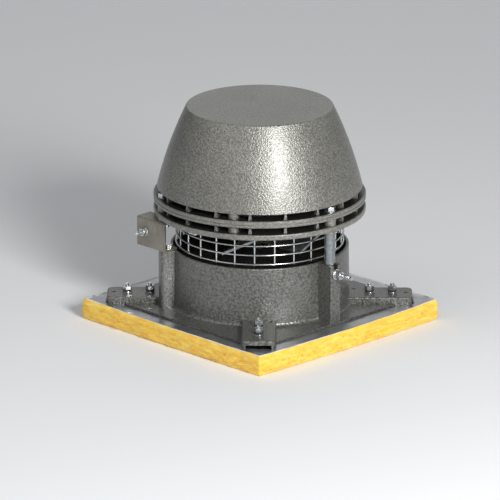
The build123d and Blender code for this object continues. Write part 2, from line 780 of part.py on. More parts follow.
with BuildPart() as motor_mount_screws:
    posts(mount_points, mount_screw_head, housing_z, mount_screw_head_height)
    posts(mount_points, mount_screw_diameter, head_z, housing_z - head_z)
write(motor_mount_screws, "motor_mount_screws")

stator_z = housing_z + stator_base
with BuildPart() as stator_core:
    disc(motor_radius - motor_wall, stator_z, stator_height, stator_bore)
    posts(tie_points, tie_bolt_diameter + 2 * hole_clearance, stator_z, stator_height, Mode.SUBTRACT)
write(stator_core, "stator_core")

with BuildPart() as stator_windings:
    disc(winding_outer, stator_z - winding_height, winding_height, winding_inner)
    disc(winding_outer, stator_z + stator_height, winding_height, winding_inner)
write(stator_windings, "stator_windings")

for name, bearing_z in (("lower", lower_bearing_z), ("upper", upper_bearing_z)):
    with BuildPart() as bearing_outer_ring:
        disc(bearing_radius, bearing_z, bearing_width, bearing_inner_radius + running_clearance)
    write(bearing_outer_ring, f"bearing_outer_{name}")
    with BuildPart() as bearing_inner_ring:
        disc(bearing_inner_radius, bearing_z, bearing_width, shaft_diameter / 2)
    write(bearing_inner_ring, f"bearing_inner_{name}")

# Terminal box under the dome, with the cable gland below it
with BuildPart() as terminal_box:
    with BuildSketch(Plane.XY.offset(head_top)):
        with Locations((0, box_place)):
            RectangleRounded(box_width, box_depth, box_corner)
    extrude(amount=box_height)
write(terminal_box, "terminal_box")

gland_point = [(0, gland_place)]
with BuildPart() as cable_gland:
    hexes(gland_point, gland_flats, head_z - gland_flange_height, gland_flange_height)
    barrel_z = head_z - gland_flange_height - gland_barrel_height
    posts(gland_point, gland_barrel_diameter, barrel_z, gland_barrel_height)
    posts(gland_point, gland_stem_diameter, head_z, motor_plate_thickness)
    posts(gland_point, gland_bore_diameter, barrel_z, head_top - barrel_z, Mode.SUBTRACT)
write(cable_gland, "cable_gland")

# Turning parts: shaft, rotor, shaft seal and impeller with its washer and nut
washer_z = hub_z - hub_washer_thickness
nut_z = washer_z - hub_nut_height
shaft_top = upper_bearing_z + bearing_width - shaft_top_gap
with BuildPart() as motor_shaft:
    disc(shaft_diameter / 2, nut_z - shaft_end, shaft_top - nut_z + shaft_end)
    chamfer(motor_shaft.faces().sort_by(Axis.Z)[0].edges(), shaft_diameter / 12)
write(motor_shaft, "motor_shaft")

with BuildPart() as rotor_core:
    disc(stator_bore - air_gap, stator_z, stator_height, shaft_diameter / 2)
write(rotor_core, "rotor_core")

with BuildPart() as shaft_seal:
    disc(seal_radius, head_z - seal_gap - seal_height, seal_height, shaft_diameter / 2)
write(shaft_seal, "shaft_seal")

with BuildPart() as impeller:
    disc(hub_radius, hub_z, hub_height)
    fillet(impeller.faces().sort_by(Axis.Z)[0].edges(), hub_edge)
    for index in range(blade_count):
        angle = index * 360 / blade_count
        out = (*polar(1, angle), 0)
        across = (*polar(1, angle + 90), 0)
        root = Plane((*polar(blade_root_place, angle), impeller_z), x_dir=across, z_dir=out)
        tip = Plane((*polar(blade_reach, angle), impeller_z), x_dir=across, z_dir=out)
        with BuildSketch(root):
            SlotOverall(blade_root_chord, blade_root_thickness, rotation=blade_root_pitch)
        with BuildSketch(tip):
            SlotOverall(blade_tip_chord, blade_tip_thickness, rotation=blade_tip_pitch)
        loft()
    disc(shaft_diameter / 2, hub_z, hub_height, mode=Mode.SUBTRACT)
write(impeller, "impeller")

with BuildPart() as impeller_washer:
    disc(hub_washer_diameter / 2, washer_z, hub_washer_thickness, shaft_diameter / 2)
write(impeller_washer, "impeller_washer")

with BuildPart() as impeller_nut:
    hexes([(0, 0)], hub_nut_flats, nut_z, hub_nut_height)
    disc(shaft_diameter / 2, nut_z, hub_nut_height, mode=Mode.SUBTRACT)
write(impeller_nut, "impeller_nut")
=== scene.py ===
# %% [markdown]
# # A chimney exhaust fan on its mineral wool mat
# The fan is a domed cast head, hinged to a collar on a square plate. This lesson dresses the exact solids:
# castings get hammer-finish paint, fasteners get threads, and the mat becomes wool. Modelling it all again by
# eye would lose the exact sizes, so the solids stay the measure. Everything is in metres, in the same frame as
# the solids, so pieces go where the solids are.

import json
import math

import bmesh
import bpy
from mathutils import Matrix, Vector, noise


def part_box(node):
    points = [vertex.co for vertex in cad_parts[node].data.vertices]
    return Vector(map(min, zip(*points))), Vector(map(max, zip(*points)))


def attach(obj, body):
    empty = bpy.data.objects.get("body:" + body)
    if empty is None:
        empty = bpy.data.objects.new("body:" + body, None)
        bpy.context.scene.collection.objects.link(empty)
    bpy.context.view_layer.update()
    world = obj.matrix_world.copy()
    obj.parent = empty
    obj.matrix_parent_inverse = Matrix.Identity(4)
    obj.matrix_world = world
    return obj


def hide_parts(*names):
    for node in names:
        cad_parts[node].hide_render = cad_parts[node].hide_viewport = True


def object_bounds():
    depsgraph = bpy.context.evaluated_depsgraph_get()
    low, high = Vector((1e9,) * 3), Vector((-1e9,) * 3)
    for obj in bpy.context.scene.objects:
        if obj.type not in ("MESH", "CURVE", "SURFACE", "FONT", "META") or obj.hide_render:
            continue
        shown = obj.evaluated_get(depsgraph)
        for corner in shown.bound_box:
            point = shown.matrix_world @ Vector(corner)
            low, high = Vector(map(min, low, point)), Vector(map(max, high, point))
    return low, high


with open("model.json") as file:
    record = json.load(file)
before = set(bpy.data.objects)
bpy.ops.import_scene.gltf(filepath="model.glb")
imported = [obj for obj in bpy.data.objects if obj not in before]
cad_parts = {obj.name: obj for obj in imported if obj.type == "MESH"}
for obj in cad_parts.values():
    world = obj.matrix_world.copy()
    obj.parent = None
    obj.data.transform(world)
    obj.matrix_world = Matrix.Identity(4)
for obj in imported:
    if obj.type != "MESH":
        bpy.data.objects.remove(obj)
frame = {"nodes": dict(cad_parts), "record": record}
cad_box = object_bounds()
solids = frame["nodes"]
body_of_node = {}
for body, names in frame["record"]["behaviour"]["bodies"].items():
    for name in names:
        body_of_node[name] = body
slot_of_node = {entry["node"]: entry["material_slot"] for entry in frame["record"]["subparts"]}
print("solids:", len(solids), "bodies:", sorted(set(body_of_node.values())))


# %% [markdown]
# ## Small helpers for finishes
# A finish here is a Principled shader with a few texture nodes in front of it. Painted image maps could do the
# same, but nodes need no files and no unwrapping. All patterns read Object coordinates, so a pattern stays on
# its piece when the head tilts. Values that never change across the surface are set on the shader itself.

# %% Helpers for nodes
def new_finish(name, roughness, metallic=0.0):
    """A material with its node tree and its shader."""
    material = bpy.data.materials.new(name)
    material.use_nodes = True
    shader = material.node_tree.nodes["Principled BSDF"]
    shader.inputs["Roughness"].default_value = roughness
    shader.inputs["Metallic"].default_value = metallic
    return material, material.node_tree, shader


def add_node(tree, kind, inputs=None, **settings):
    """A node with its settings, and with its inputs either linked or filled in."""
    made = tree.nodes.new(kind)
    for key, value in settings.items():
        setattr(made, key, value)
    for key, value in (inputs or {}).items():
        if isinstance(value, bpy.types.NodeSocket):
            tree.links.new(value, made.inputs[key])
        else:
            made.inputs[key].default_value = value
    return made


def combine(tree, operation, a, b):
    """One sum on two values."""
    return add_node(tree, "ShaderNodeMath", {0: a, 1: b}, operation=operation).outputs[0]


def blend(tree, share, a, b):
    """A mix of two values, with this share of the second."""
    return add_node(tree, "ShaderNodeMix", {"Factor": share, 2: a, 3: b}, data_type="FLOAT").outputs[0]


print("node helpers ready")


# %% Helpers for patterns
def cloud(tree, place, scale, detail, roughness=0.5):
    """A noise pattern between 0 and 1."""
    inputs = {"Vector": place, "Scale": scale, "Detail": detail, "Roughness": roughness}
    return add_node(tree, "ShaderNodeTexNoise", inputs).outputs["Fac"]


def ramp(tree, factor, stops):
    """A colour ramp with stops of (position, colour)."""
    made = add_node(tree, "ShaderNodeValToRGB", {"Fac": factor})
    elements = made.color_ramp.elements
    while len(elements) < len(stops):
        elements.new(0.5)
    for element, (position, colour) in zip(elements, stops):
        element.position = position
        element.color = (*colour, 1.0)
    return made.outputs["Color"]


def spread(tree, value, low, high):
    """Maps a 0 to 1 pattern onto another range."""
    limits = {"Value": value, "To Min": low, "To Max": high}
    return add_node(tree, "ShaderNodeMapRange", limits).outputs["Result"]


def relief(tree, shader, height, strength, distance):
    """Lets a height pattern bend the light on the surface."""
    inputs = {"Height": height, "Strength": strength, "Distance": distance}
    bump = add_node(tree, "ShaderNodeBump", inputs)
    tree.links.new(bump.outputs["Normal"], shader.inputs["Normal"])


print("pattern helpers ready")


# %% [markdown]
# ## Painted shade in the bore and the gaps
# Shade falls where little light reaches: inside the bore under the motor plate and deep in the two air gaps.
# There the paint is darkened, as painted shade. It could be painted on by hand. Here radius and height say
# where it lies, so that one mask fits every casting. In the gaps it also lies on level faces further out, which
# the normal tells from the upright ribs and rims.

# %% Where the painted shade falls
# Each pair is the value at which a surface is unshaded, and the value from which it is fully in painted shade.
bore_wall = (0.1134, 0.1118)
plate_underside = (0.1516, 0.1508)
gap_floor = (0.1570, 0.1578)
gap_roof = (0.1846, 0.1838)
rib_backs = (0.1306, 0.1220)
land_rim = (0.1374, 0.1352)
level_face = (0.7, 0.95)


def fade(tree, value, unshaded, shaded):
    """Rises softly from 0 at the unshaded value to 1 at the shaded value."""
    limits = {"Value": value, "From Min": unshaded, "From Max": shaded}
    return add_node(tree, "ShaderNodeMapRange", limits, interpolation_type="SMOOTHSTEP").outputs["Result"]


def painted_shade_mask(tree, place, normal):
    """Painted shade: 1 in the bore under the motor plate and in the air gaps, 0 on the open surfaces."""
    level = add_node(tree, "ShaderNodeVectorMath", {0: place, 1: (1.0, 1.0, 0.0)}, operation="MULTIPLY")
    length = add_node(tree, "ShaderNodeVectorMath", {0: level.outputs["Vector"]}, operation="LENGTH")
    radius = length.outputs["Value"]
    height = add_node(tree, "ShaderNodeSeparateXYZ", {"Vector": place}).outputs["Z"]
    upward = add_node(tree, "ShaderNodeSeparateXYZ", {"Vector": normal}).outputs["Z"]
    flatness = add_node(tree, "ShaderNodeMath", {0: upward}, operation="ABSOLUTE").outputs[0]
    in_bore = combine(tree, "MULTIPLY", fade(tree, radius, *bore_wall), fade(tree, height, *plate_underside))
    gap_heights = combine(tree, "MULTIPLY", fade(tree, height, *gap_floor), fade(tree, height, *gap_roof))
    on_land = combine(tree, "MULTIPLY", fade(tree, radius, *land_rim), fade(tree, flatness, *level_face))
    behind_ribs = combine(tree, "MAXIMUM", fade(tree, radius, *rib_backs), on_land)
    in_gap = combine(tree, "MULTIPLY", behind_ribs, gap_heights)
    return combine(tree, "MAXIMUM", in_bore, in_gap)


print("soot in the gaps from", gap_floor[0], "to", gap_roof[0])

# %% [markdown]
# ## Hammer-finish paint
# The castings are sprayed with a metallic paint that pulls into small dimples as it dries. A picture of such
# paint would stretch on the dome, so the pattern is made of noise, which covers any casting evenly. A smooth
# Voronoi pattern gives the dimples, and a noise of much the same grain the metal flake. Together they are the
# relief. The flake and a broad noise for the uneven coat give the colour. The base has a coarser grain than the
# head, and a darker colour, which is painted shade. Painted shade also darkens the bore and the air gaps.

# %% Hammer-finish paint
dimples_per_flake = 1.2
dimple_depth = 0.18
coat_share = 0.2
coat_scale = 14.0
# How strongly, and in which near-black colour, the painted shade darkens the bore and the air gaps.
painted_shade_strength = 0.92
painted_shade_colour = (0.010, 0.010, 0.0095, 1.0)


def hammer_paint(name, dark, light, roughness, grain):
    """Metallic grey paint; a smaller grain number gives wider and deeper dimples."""
    material, tree, shader = new_finish(name, roughness, metallic=0.45)
    shader.inputs["Specular IOR Level"].default_value = 0.9
    shader.inputs["Coat Weight"].default_value = 0.3
    shader.inputs["Coat Roughness"].default_value = 0.24
    coordinates = add_node(tree, "ShaderNodeTexCoord").outputs
    place = coordinates["Object"]
    dimple_inputs = {"Vector": place, "Scale": dimples_per_flake * grain, "Smoothness": 0.3}
    dimples = add_node(tree, "ShaderNodeTexVoronoi", dimple_inputs, feature="SMOOTH_F1").outputs["Distance"]
    flake = cloud(tree, place, grain, detail=1.5, roughness=0.6)
    coat = cloud(tree, place, coat_scale, detail=3.0)
    middle = tuple((a + b) / 2 for a, b in zip(dark, light))
    mottle = blend(tree, coat_share, flake, coat)
    unshaded = ramp(tree, mottle, [(0.34, dark), (0.50, middle), (0.66, light)])
    # Painted shade: the colour goes near black in the bore and the air gaps.
    painted_shade = combine(tree, "MULTIPLY", painted_shade_mask(tree, place, coordinates["Normal"]), painted_shade_strength)
    layers = {"Factor": painted_shade, 6: unshaded, 7: painted_shade_colour}
    colour = add_node(tree, "ShaderNodeMix", layers, data_type="RGBA").outputs[2]
    tree.links.new(colour, shader.inputs["Base Color"])
    tree.links.new(spread(tree, flake, roughness - 0.08, roughness + 0.12), shader.inputs["Roughness"])
    relief(tree, shader, combine(tree, "ADD", dimples, flake), strength=0.85, distance=dimple_depth / grain)
    return material


casting_paint = hammer_paint(
    "hammer_paint", (0.130, 0.127, 0.113), (0.31, 0.302, 0.27), roughness=0.38, grain=430.0
)
# A darker copy of the paint for the base casting: its darker colour is painted shade.
shaded_base_paint = hammer_paint(
    "shaded_base_hammer_paint", (0.066, 0.066, 0.060), (0.200, 0.197, 0.180), roughness=0.36, grain=330.0
)
print("finishes:", casting_paint.name, shaded_base_paint.name)

# %% [markdown]
# ## Zinc, bare sheet, rubber and the rest
# Fasteners are zinc plated: bright, a little blue, with streaks. The hinge brackets are bent from bare sheet
# that has browned. Each could have a tree of its own, but they differ only in numbers. So one builder makes
# them all, from two colours, a grain size and a stretch of the grain.

# %% Plainer finishes
stain_width = 9


def worn_finish(name, low, high, roughness, metallic, grain, stretch=(1.0, 1.0, 1.0), depth=0.0001):
    """A finish whose gloss and relief follow one stretched noise, and its colour also a broad stain."""
    material, tree, shader = new_finish(name, roughness, metallic)
    place = add_node(tree, "ShaderNodeTexCoord").outputs["Object"]
    along = add_node(tree, "ShaderNodeMapping", {"Vector": place, "Scale": stretch}).outputs["Vector"]
    streaks = cloud(tree, along, grain, detail=4.0)
    stain = cloud(tree, place, grain / stain_width, detail=3.0)
    colour = ramp(tree, blend(tree, 0.5, streaks, stain), [(0.35, low), (0.65, high)])
    tree.links.new(colour, shader.inputs["Base Color"])
    tree.links.new(spread(tree, streaks, roughness - 0.1, roughness + 0.1), shader.inputs["Roughness"])
    relief(tree, shader, streaks, strength=0.4, distance=depth)
    return material


zinc = worn_finish("zinc_plate", (0.50, 0.52, 0.53), (0.78, 0.80, 0.81), 0.24, 0.95, 420.0)
dull_zinc = worn_finish("dull_zinc", (0.17, 0.19, 0.20), (0.40, 0.43, 0.45), 0.34, 0.9, 240.0)
sheet_grain = (1.0, 1.0, 0.5)
bare_sheet = worn_finish("bare_sheet", (0.22, 0.205, 0.17), (0.34, 0.32, 0.275), 0.44, 0.6, 180.0, sheet_grain)
rubber = worn_finish("dark_rubber", (0.012, 0.012, 0.012), (0.035, 0.034, 0.032), 0.7, 0.0, 700.0)
black_plastic = worn_finish("black_plastic", (0.012, 0.012, 0.013), (0.03, 0.03, 0.031), 0.5, 0.0, 900.0)
blade_alloy = worn_finish("blade_alloy", (0.26, 0.265, 0.26), (0.56, 0.565, 0.56), 0.34, 0.85, 120.0)
raw_alloy = worn_finish("raw_alloy", (0.16, 0.165, 0.16), (0.32, 0.325, 0.32), 0.5, 0.7, 300.0)
core_layers = (0.2, 0.2, 3.0)
core_steel = worn_finish("core_steel", (0.14, 0.14, 0.145), (0.26, 0.26, 0.265), 0.45, 0.8, 500.0, core_layers)
wire_turns = (0.3, 0.3, 2.0)
copper_wire = worn_finish("copper_wire", (0.28, 0.10, 0.04), (0.5, 0.22, 0.09), 0.4, 0.8, 600.0, wire_turns)
finish_of_slot = {
    "cast_grey": casting_paint,
    "zinc_steel": zinc,
    "hinge_sheet": bare_sheet,
    "dark_rubber": rubber,
    "black_plastic": black_plastic,
    "motor_alloy": raw_alloy,
    "core_steel": core_steel,
    "copper_wire": copper_wire,
}
print("finishes:", len(finish_of_slot))


# %% [markdown]
# ## Placing a piece
# Each new piece takes the place of one solid: it hides that solid, moves with the same body and gets its
# finish. The three calls could be written out for each piece. One helper does them, so that no piece
# forgets one.

# %% Helpers that put a mesh in place of a solid
def linked(name, data):
    """An object in the scene."""
    made = bpy.data.objects.new(name, data)
    bpy.context.scene.collection.objects.link(made)
    return made


def stand_for(name, mesh, finish, *nodes):
    """Links a mesh as a piece that replaces these solids."""
    if finish:
        mesh.materials.clear()
        mesh.materials.append(finish)
    piece = linked(name, mesh)
    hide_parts(*nodes)
    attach(piece, body_of_node[nodes[0]])
    return piece


print("placing helpers ready")


# %% [markdown]
# ## Castings and sheet pieces
# These solids already have the right shape, but a solid's mesh is loose flat triangles. It could be modelled
# again, but a copy keeps every size. The copy is merged, its flat triangles are joined, and a small bevel gives
# every edge the softness that a painted casting has. Weighted normals keep the large flat faces flat in the
# light.

# %% Softened copies
merge_distance = 1e-5
flat_angle = math.radians(0.4)
crease_angle = math.radians(32)
bevel_angle = math.radians(40)


def softened(node, bevel, finish=None):
    """A copy of a solid with merged points, smooth faces and bevelled edges."""
    mesh = solids[node].data.copy()
    form = bmesh.new()
    form.from_mesh(mesh)
    bmesh.ops.remove_doubles(form, verts=form.verts, dist=merge_distance)
    bmesh.ops.dissolve_limit(form, angle_limit=flat_angle, verts=form.verts, edges=form.edges)
    form.to_mesh(mesh)
    form.free()
    mesh.polygons.foreach_set("use_smooth", [True] * len(mesh.polygons))
    mesh.set_sharp_from_angle(angle=crease_angle)
    piece = stand_for(node + "_piece", mesh, finish or finish_of_slot[slot_of_node[node]], node)
    edge = piece.modifiers.new("Soft edges", "BEVEL")
    edge.width = bevel
    edge.segments = 2
    edge.limit_method = "ANGLE"
    edge.angle_limit = bevel_angle
    normals = piece.modifiers.new("Flat faces", "WEIGHTED_NORMAL")
    normals.keep_sharp = True


print("edges bevelled past", round(math.degrees(bevel_angle)), "degrees")

# %% Castings, sheet pieces and turned pieces
cast_bevel = 0.0006
softened("base_casting", cast_bevel, shaded_base_paint)
for casting in ("motor_plate", "cooling_ring", "dome"):
    softened(casting, cast_bevel)
sheet_bevel = 0.0004
for sheet_piece in ("hinge_bracket_left", "hinge_bracket_right", "hinge_plate_left", "hinge_plate_right"):
    softened(sheet_piece, sheet_bevel)
softened("lock_pillar", sheet_bevel, dull_zinc)
for turned in ("lock_nut", "pivot_nuts", "pivot_washers", "hinge_foot_bolts", "ring_bolts"):
    softened(turned, sheet_bevel)
for small in ("ring_bolt_washers", "bracket_nuts", "dome_screws", "clip_screws", "guard_clips"):
    softened(small, sheet_bevel / 2)
softened("impeller", cast_bevel, blade_alloy)
for turning in ("impeller_nut", "impeller_washer", "motor_shaft", "cable_gland"):
    softened(turning, sheet_bevel)
print("softened copies made")


# %% [markdown]
# ## Geometry Nodes for what repeats
# Wires, studs, washers and nuts repeat. They could be copied by hand or in a loop, but a node tree keeps their
# sizes as named inputs that can be changed later. A tiny class builds the trees, and a bake helper runs one on
# a set of points and keeps the result as a plain mesh.

# %% Class for node trees
class PieceTree:
    """A Geometry Nodes tree with named inputs for its sizes."""

    kinds = {int: "NodeSocketInt", float: "NodeSocketFloat"}

    def __init__(self, name, sizes):
        self.group = bpy.data.node_groups.new(name, "GeometryNodeTree")
        face = self.group.interface
        face.new_socket("Geometry", in_out="INPUT", socket_type="NodeSocketGeometry")
        face.new_socket("Geometry", in_out="OUTPUT", socket_type="NodeSocketGeometry")
        for label, value in sizes.items():
            face.new_socket(label, in_out="INPUT", socket_type=self.kinds[type(value)]).default_value = value
        face.new_socket("Finish", in_out="INPUT", socket_type="NodeSocketMaterial")
        self.start = self.group.nodes.new("NodeGroupInput")
        self.end = self.group.nodes.new("NodeGroupOutput")
        self.sizes = self.start.outputs

    def add(self, kind, inputs=None, out=0, **settings):
        """A node of the tree; gives its output socket."""
        return add_node(self.group, kind, inputs, **settings).outputs[out]

    def math(self, operation, a, b):
        """One sum on two sizes."""
        return combine(self.group, operation, a, b)

    def times(self, size, factor):
        """A size times a number."""
        return combine(self.group, "MULTIPLY", size, factor)

    def vector(self, x=0.0, y=0.0, z=0.0):
        """A vector from sizes."""
        return self.add("ShaderNodeCombineXYZ", {"X": x, "Y": y, "Z": z})

    def lifted(self, shape, z):
        """A shape moved up."""
        return self.add("GeometryNodeTransform", {"Geometry": shape, "Translation": self.vector(z=z)})

    def joined(self, *shapes):
        """Several shapes as one."""
        made = self.group.nodes.new("GeometryNodeJoinGeometry")
        for shape in shapes:
            self.group.links.new(shape, made.inputs[0])
        return made.outputs[0]

    def repeated(self, shape, points, **more):
        """A shape on each of some points."""
        return self.add("GeometryNodeInstanceOnPoints", {"Points": points, "Instance": shape, **more})

    def close(self, shape, smooth_angle=0.6):
        """Ends the tree: instances become real, soft edges shade smoothly, and the finish is set."""
        real = self.add("GeometryNodeRealizeInstances", {"Geometry": shape})
        edge_angle = self.add("GeometryNodeInputMeshEdgeAngle")
        soft = self.add("FunctionNodeCompare", {0: edge_angle, 1: smooth_angle}, operation="LESS_THAN")
        faces = self.add("GeometryNodeSetShadeSmooth", {"Geometry": real, "Shade Smooth": True})
        edges = self.add("GeometryNodeSetShadeSmooth", {"Geometry": faces, "Shade Smooth": soft}, domain="EDGE")
        done = self.add("GeometryNodeSetMaterial", {"Geometry": edges, "Material": self.sizes["Finish"]})
        self.group.links.new(done, self.end.inputs[0])


print("tree class ready")


# %% Helper that bakes a tree
origin = (0, 0, 0)


def baked(tree, points, finish, **sizes):
    """Runs a tree on some points and gives the result as a plain mesh."""
    seeds = bpy.data.meshes.new(tree.group.name + "_points")
    seeds.from_pydata([tuple(point) for point in points], [], [])
    holder = linked(tree.group.name + "_holder", seeds)
    modifier = holder.modifiers.new("Tree", "NODES")
    modifier.node_group = tree.group
    for item in tree.group.interface.items_tree:
        if item.in_out == "INPUT" and item.name in sizes:
            modifier[item.identifier] = sizes[item.name]
        if item.in_out == "INPUT" and item.name == "Finish":
            modifier[item.identifier] = finish
    graph = bpy.context.evaluated_depsgraph_get()
    mesh = bpy.data.meshes.new_from_object(holder.evaluated_get(graph), depsgraph=graph)
    bpy.data.objects.remove(holder)
    return mesh


print("bake helper ready")

# %% [markdown]
# ## The wire guard
# Round wires welded into a cage: hoops outside, uprights inside. A Wireframe modifier on a cylinder would be
# quicker, but its wires would all lie in one layer. The tree places one upright on each point of a circle and
# one hoop on each point of a line, so the wire count and the pitch are plain inputs.

# %% Uprights of the guard
MM = 0.001
weld_share = 0.41
guard_tree = PieceTree(
    "Guard wires",
    {
        "Radius": 0.108,
        "Wire": 2.2 * MM,
        "Uprights": 26,
        "Start angle": 0.0,
        "Hoops": 4,
        "Pitch": 0.0124,
        "Foot": 0.1,
        "Height": 0.04,
    },
)
size = guard_tree.sizes
half_wire = guard_tree.times(size["Wire"], 0.5)
weld = guard_tree.times(size["Wire"], weld_share)
inner = guard_tree.math("SUBTRACT", size["Radius"], weld)
circle = guard_tree.add("GeometryNodeMeshCircle", {"Vertices": size["Uprights"], "Radius": inner})
circle_turn = guard_tree.vector(z=size["Start angle"])
turned_circle = guard_tree.add("GeometryNodeTransform", {"Geometry": circle, "Rotation": circle_turn})
rod_sizes = {"Vertices": 12, "Radius": half_wire, "Depth": size["Height"]}
rod = guard_tree.add("GeometryNodeMeshCylinder", rod_sizes)
rod_middle = guard_tree.math("ADD", size["Foot"], guard_tree.times(size["Height"], 0.5))
uprights = guard_tree.repeated(guard_tree.lifted(rod, rod_middle), turned_circle)
print("guard inputs:", [socket.name for socket in size if socket.name])

# %% Hoops of the guard
hoop_lift = 2.4 * MM
outer = guard_tree.math("ADD", size["Radius"], weld)
hoop_line = guard_tree.add(
    "GeometryNodeMeshLine",
    {
        "Count": size["Hoops"],
        "Start Location": guard_tree.vector(z=size["Foot"]),
        "Offset": guard_tree.vector(z=size["Pitch"]),
    },
)
hoop_path = guard_tree.add("GeometryNodeCurvePrimitiveCircle", {"Resolution": 180, "Radius": outer})
hoop_section = guard_tree.add("GeometryNodeCurvePrimitiveCircle", {"Resolution": 12, "Radius": half_wire})
hoop = guard_tree.add("GeometryNodeCurveToMesh", {"Curve": hoop_path, "Profile Curve": hoop_section})
hoops = guard_tree.repeated(guard_tree.lifted(hoop, hoop_lift), hoop_line)
guard_tree.close(guard_tree.joined(uprights, hoops))

first_upright = math.radians(-48.1)
guard_low, guard_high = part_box("wire_guard")
guard_sizes = {"Start angle": first_upright, "Foot": guard_low[2], "Height": guard_high[2] - guard_low[2]}
guard_mesh = baked(guard_tree, [origin], zinc, **guard_sizes)
stand_for("wire_guard_piece", guard_mesh, zinc, "wire_guard")
print("guard faces:", len(guard_mesh.polygons))

# %% [markdown]
# ## Threaded studs, nuts and washers
# Each corner pad carries two studs with a steel washer, a rubber washer and a nut. A bump pattern could hint at
# a thread, but it would leave the outline smooth. So the thread is a real spiral with a four-sided section,
# half sunk in the shank, which catches light as a thread does.

# %% Threaded studs
stud_tree = PieceTree("Threaded studs", {"Diameter": 0.006, "Length": 0.028, "Pitch": 0.001})
size = stud_tree.sizes
thread_depth = stud_tree.times(size["Pitch"], 0.5)
crest = stud_tree.times(size["Diameter"], 0.5)
core = stud_tree.math("SUBTRACT", crest, thread_depth)
shank = stud_tree.add("GeometryNodeMeshCylinder", {"Vertices": 20, "Radius": core, "Depth": size["Length"]})
shank_up = stud_tree.lifted(shank, stud_tree.times(size["Length"], 0.5))
helix_height = stud_tree.math("SUBTRACT", size["Length"], thread_depth)
turns = stud_tree.math("DIVIDE", helix_height, size["Pitch"])
helix = stud_tree.add(
    "GeometryNodeCurveSpiral",
    {"Resolution": 14, "Rotations": turns, "Start Radius": core, "End Radius": core, "Height": helix_height},
)
ridge = stud_tree.add("GeometryNodeCurvePrimitiveCircle", {"Resolution": 4, "Radius": thread_depth})
thread = stud_tree.add("GeometryNodeCurveToMesh", {"Curve": helix, "Profile Curve": ridge, "Fill Caps": True})
stud_tree.close(stud_tree.repeated(stud_tree.joined(shank_up, thread), size["Geometry"]))

anchor_radii = (143.0 * MM, 172.8 * MM)
anchor_spots = []
for corner in range(4):
    for radius in anchor_radii:
        angle = math.radians(45 + 90 * corner)
        anchor_spots.append((radius * math.cos(angle), radius * math.sin(angle)))


def at_height(z):
    """The anchor places at one height."""
    return [(x, y, z) for x, y in anchor_spots]


stud_low, stud_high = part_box("anchor_studs")
stud_mesh = baked(stud_tree, at_height(stud_low[2]), zinc, Length=stud_high[2] - stud_low[2])
stand_for("anchor_studs_piece", stud_mesh, zinc, "anchor_studs")
print("studs:", len(anchor_spots), "faces:", len(stud_mesh.polygons))

# %% [markdown]
# A nut is a hexagon cut by a cone, which rounds its corners as a lathe does. A bevel would round all its edges
# alike. Each nut stops at its own angle, so the tree turns it by a seeded random amount.

# %% Nuts
# The cone's sizes and its place are shares of the nut's flats and height.
cone_top_share = 0.43
cone_slope = 1.5
cone_heights = 2.0
cone_foot_place = -1.45
sixth_turn = 1.04
nut_tree = PieceTree("Chamfered nuts", {"Flats": 0.010, "Height": 0.005})
size = nut_tree.sizes
corner_radius = nut_tree.math("DIVIDE", size["Flats"], math.sqrt(3))
prism_sizes = {"Vertices": 6, "Radius": corner_radius, "Depth": size["Height"]}
prism = nut_tree.add("GeometryNodeMeshCylinder", prism_sizes)
cone_top = nut_tree.times(size["Flats"], cone_top_share)
cone_height = nut_tree.times(size["Height"], cone_heights)
cone_foot = nut_tree.math("ADD", cone_top, nut_tree.times(cone_height, cone_slope))
cone_sizes = {"Vertices": 32, "Radius Top": cone_top, "Radius Bottom": cone_foot, "Depth": cone_height}
cone = nut_tree.add("GeometryNodeMeshCone", cone_sizes)
cone_down = nut_tree.lifted(cone, nut_tree.times(size["Height"], cone_foot_place))
cut = add_node(nut_tree.group, "GeometryNodeMeshBoolean", operation="INTERSECT")
for shape in (prism, cone_down):
    nut_tree.group.links.new(shape, cut.inputs["Mesh 2"])
nut_up = nut_tree.lifted(cut.outputs[0], nut_tree.times(size["Height"], 0.5))
nut_index = nut_tree.add("GeometryNodeInputIndex")
turn_inputs = {2: 0.0, 3: sixth_turn, "ID": nut_index, "Seed": 7}
nut_turn = nut_tree.add("FunctionNodeRandomValue", turn_inputs, out=1, data_type="FLOAT")
nuts = nut_tree.repeated(nut_up, size["Geometry"], Rotation=nut_tree.vector(z=nut_turn))
nut_tree.close(nuts, smooth_angle=0.3)

nut_low, nut_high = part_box("anchor_nuts")
nut_mesh = baked(nut_tree, at_height(nut_low[2]), zinc, Height=nut_high[2] - nut_low[2])
stand_for("anchor_nuts_piece", nut_mesh, zinc, "anchor_nuts")
print("nut faces:", len(nut_mesh.polygons))

# %% [markdown]
# A washer is a flat ring, of steel or of rubber. A bevelled cylinder with a hole would do. A rounded rectangle
# swept round a circle needs no cut, and both kinds come from it with other sizes.

# %% Washers
# Outer and Inner are diameters.
edge_round = 0.22
washer_tree = PieceTree("Washers", {"Outer": 0.013, "Inner": 0.006, "Height": 0.0016})
size = washer_tree.sizes
middle = washer_tree.times(washer_tree.math("ADD", size["Outer"], size["Inner"]), 0.25)
width = washer_tree.times(washer_tree.math("SUBTRACT", size["Outer"], size["Inner"]), 0.5)
path = washer_tree.add("GeometryNodeCurvePrimitiveCircle", {"Resolution": 40, "Radius": middle})
section = washer_tree.add("GeometryNodeCurvePrimitiveQuadrilateral", {"Width": width, "Height": size["Height"]})
fillet = {"Curve": section, "Radius": washer_tree.times(size["Height"], edge_round), "Count": 2}
rounded = washer_tree.add("GeometryNodeFilletCurve", fillet, mode="POLY")
ring = washer_tree.add("GeometryNodeCurveToMesh", {"Curve": path, "Profile Curve": rounded})
ring_up = washer_tree.lifted(ring, washer_tree.times(size["Height"], 0.5))
washer_tree.close(washer_tree.repeated(ring_up, size["Geometry"]))
